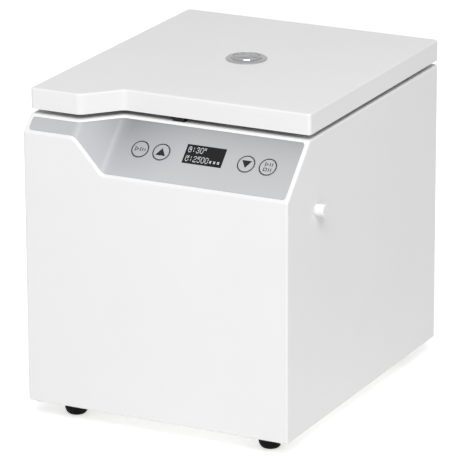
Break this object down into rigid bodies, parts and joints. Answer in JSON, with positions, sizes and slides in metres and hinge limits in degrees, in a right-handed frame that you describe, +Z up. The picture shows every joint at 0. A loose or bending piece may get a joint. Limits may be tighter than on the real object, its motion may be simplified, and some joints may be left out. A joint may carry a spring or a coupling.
{
  "type": "microplate centrifuge",
  "caption": "Bench-top microplate centrifuge with a hinged windowed lid, a stepped front with a sloping key panel, and a two-slot vertical rotor inside.",
  "frame": {"origin": "on the bench, under the middle of the whole object's box", "axes": "+X to the right seen from the front, +Y to the back, +Z up"},
  "size_m": [0.2686, 0.3273, 0.3116],
  "materials": {
    "white_shell": "satin white",
    "overlay_grey": "satin grey film",
    "key_grey": "satin grey",
    "chrome": "polished",
    "lens": "clear, domed",
    "display_black": "gloss black window",
    "black_rubber": "matt black",
    "black_plastic": "fine-textured black",
    "steel": "brushed",
    "zinc_steel": "zinc plated",
    "painted_steel": "light grey powder coat",
    "aluminium": "anodised",
    "holder_plastic": "dark grey",
    "board_green": "solder mask",
    "brass": "plated contacts"
  },
  "bodies": {
    "base": {"casing": "white_shell", "rear_panel": "painted_steel", "base_plate": "zinc_steel", "feet": "black_rubber", "chamber_bowl": "steel", "motor_can": "painted_steel", "motor_end_cap": "aluminium", "motor_bearings": "steel", "motor_stator": "zinc_steel", "motor_plate": "zinc_steel", "motor_screws": "zinc_steel", "motor_pillars": "zinc_steel", "motor_dampers": "black_rubber", "damper_nuts": "zinc_steel", "shaft_boot": "black_rubber", "hinge_leaves_body": "steel", "hinge_pins": "steel", "latch_bracket": "zinc_steel", "latch_leaf": "steel", "lid_switch": "black_plastic", "button_guide": "black_plastic", "release_spring": "steel", "control_overlay": "overlay_grey", "display_window": "display_black", "display_module": "black_plastic", "control_board": "board_green", "key_switches": "black_plastic", "power_board": "board_green", "power_inlet": "black_plastic", "inlet_pins": "brass", "power_switch": "black_plastic", "base_screws": "zinc_steel", "foot_screws": "zinc_steel", "body_screws": "zinc_steel"},
    "lid": {"lid_shell": "white_shell", "lid_liner": "steel", "lid_gasket": "black_rubber", "window_ring": "chrome", "window_lens": "lens", "hinge_leaves_lid": "steel", "latch_hook": "black_plastic", "lid_screws": "zinc_steel"},
    "rotor": {"motor_rotor": "zinc_steel", "motor_shaft": "steel", "rotor_yoke": "aluminium", "plate_holder_left": "holder_plastic", "plate_holder_right": "holder_plastic", "holder_screws": "zinc_steel", "rotor_nut": "black_plastic"},
    "release": {"release_button": "white_shell", "release_rod": "steel"},
    "program_key": {"key_program": "key_grey"},
    "up_key": {"key_up": "key_grey"},
    "down_key": {"key_down": "key_grey"},
    "start_key": {"key_start": "key_grey"},
    "rocker": {"power_rocker": "black_plastic"}
  },
  "joints": [
    {"name": "lid_hinge", "type": "hinge", "parent": "base", "child": "lid", "pos_m": [-0.0043, 0.16015, 0.28575], "axis": [-1, 0, 0], "range_deg": [0, 80], "deforming": ["latch_leaf"]},
    {"name": "release_slide", "type": "slide", "parent": "base", "child": "release", "axis": [-1, 0, 0], "range_m": [0, 0.003], "stiffness_N_per_m": 800, "springref_m": -0.004, "deforming": ["release_spring", "latch_leaf"]},
    {"name": "rotor_spin", "type": "hinge", "parent": "base", "child": "rotor", "pos_m": [-0.0043, 0.01885, 0.1755], "axis": [0, 0, 1], "continuous": true},
    {"name": "program_key_press", "type": "slide", "parent": "base", "child": "program_key", "axis": [0, 0.7071, -0.7071], "range_m": [0, 0.0005], "stiffness_N_per_m": 1500, "springref_m": -0.0004},
    {"name": "up_key_press", "type": "slide", "parent": "base", "child": "up_key", "axis": [0, 0.7071, -0.7071], "range_m": [0, 0.0005], "stiffness_N_per_m": 1500, "springref_m": -0.0004},
    {"name": "down_key_press", "type": "slide", "parent": "base", "child": "down_key", "axis": [0, 0.7071, -0.7071], "range_m": [0, 0.0005], "stiffness_N_per_m": 1500, "springref_m": -0.0004},
    {"name": "start_key_press", "type": "slide", "parent": "base", "child": "start_key", "axis": [0, 0.7071, -0.7071], "range_m": [0, 0.0005], "stiffness_N_per_m": 1500, "springref_m": -0.0004},
    {"name": "rocker_tilt", "type": "hinge", "parent": "base", "child": "rocker", "pos_m": [0.0157, 0.15485, 0.0595], "axis": [1, 0, 0], "range_deg": [0, 20]}
  ]
}
